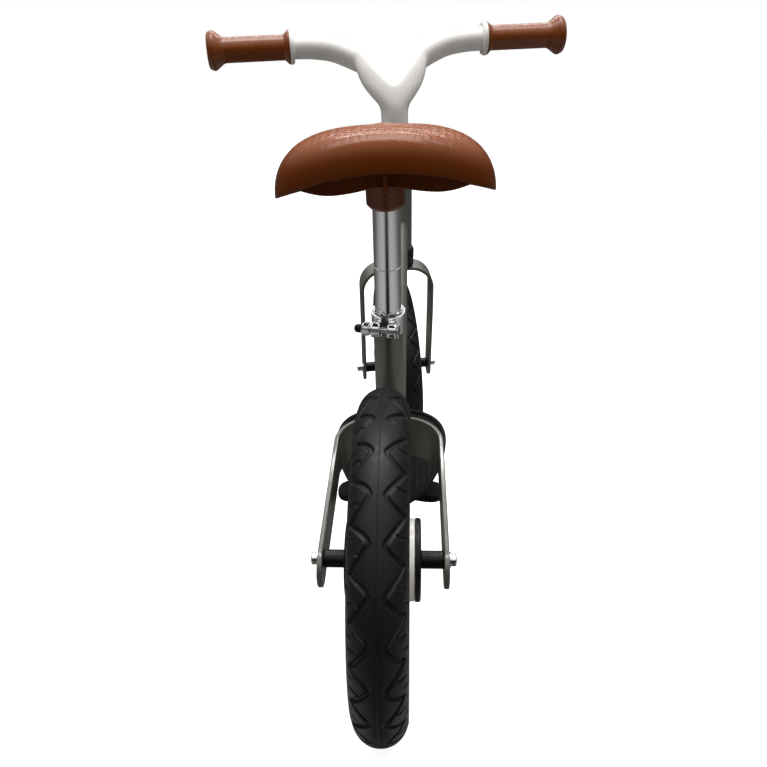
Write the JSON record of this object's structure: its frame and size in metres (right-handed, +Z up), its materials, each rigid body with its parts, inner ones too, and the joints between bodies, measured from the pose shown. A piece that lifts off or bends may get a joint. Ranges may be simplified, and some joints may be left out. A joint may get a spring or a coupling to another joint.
{
  "type": "balance bike",
  "caption": "Child's balance bike with flat-steel forks, foam-tyred spoked wheels, wide moulded saddle, one-piece handlebar and a footrest.",
  "frame": {"origin": "middle of the bounding box, on the ground", "axes": "+X to the rider's right, +Y forwards, +Z up; the bar stands turned 9 degrees left"},
  "size_m": [0.4442, 0.8565, 0.6201],
  "materials": {
    "paint": "gloss grey-green enamel",
    "chrome": "polished",
    "steel": "zinc plated",
    "black_plastic": "fine moulded",
    "tyre_foam": "moulded foam, matt",
    "white_plastic": "gloss moulded",
    "brown_plastic": "cognac brown, satin gloss"
  },
  "bodies": {
    "frame": {"rear_fork": "paint", "main_tube": "paint", "seat_tube": "paint", "head_tube": "paint", "lower_headset_cup": "black_plastic", "upper_headset_cup": "black_plastic", "footrest_deck": "black_plastic", "footrest_bracket": "black_plastic", "footrest_screw_1": "steel", "footrest_screw_2": "steel", "foot_pads": "black_plastic", "rear_axle": "steel", "rear_spacer_left": "black_plastic", "rear_spacer_right": "black_plastic", "rear_axle_nut_left": "chrome", "rear_axle_nut_right": "chrome", "seat_clamp": "chrome", "clamp_bolt": "steel"},
    "rear_wheel": {"rear_tyre": "tyre_foam", "rear_wheel": "white_plastic", "rear_hub_cap_left": "black_plastic", "rear_hub_cap_right": "black_plastic", "rear_bearing_left": "steel", "rear_bearing_right": "steel"},
    "steering": {"front_fork": "paint", "steerer_tube": "steel", "crown_race": "black_plastic", "headset_lock_ring": "black_plastic", "handlebar": "white_plastic", "stem_bolt": "steel", "grip_left": "brown_plastic", "grip_right": "brown_plastic", "front_axle": "steel", "front_spacer_left": "black_plastic", "front_spacer_right": "black_plastic", "front_axle_nut_left": "chrome", "front_axle_nut_right": "chrome"},
    "front_wheel": {"front_tyre": "tyre_foam", "front_wheel": "white_plastic", "front_hub_cap_left": "black_plastic", "front_hub_cap_right": "black_plastic", "front_bearing_left": "steel", "front_bearing_right": "steel"},
    "seat": {"seat_post": "chrome", "saddle_shell": "brown_plastic", "saddle_socket": "brown_plastic"},
    "clamp_nut": {"clamp_nut": "chrome", "clamp_nut_cap": "black_plastic"}
  },
  "joints": [
    {"name": "rear_wheel_spin", "type": "hinge", "parent": "frame", "child": "rear_wheel", "pos_m": [0.0078, -0.2864, 0.142], "axis": [1, 0, 0], "continuous": true},
    {"name": "steering_turn", "type": "hinge", "parent": "frame", "child": "steering", "pos_m": [0.0078, 0.2272, 0.3], "axis": [0, -0.309, 0.9511], "range_deg": [-54, 36]},
    {"name": "front_wheel_spin", "type": "hinge", "parent": "steering", "child": "front_wheel", "pos_m": [0.00639, 0.28788, 0.142], "axis": [0.9877, 0.1488, 0.0483], "continuous": true},
    {"name": "seat_height", "type": "slide", "parent": "frame", "child": "seat", "axis": [0, -0.309, 0.9511], "range_m": [-0.07, 0.012]},
    {"name": "clamp_nut_turn", "type": "hinge", "parent": "frame", "child": "clamp_nut", "pos_m": [-0.0122, -0.15419, 0.30553], "axis": [-0.9877, 0.1488, 0.0483], "range_deg": [0, 540]}
  ]
}
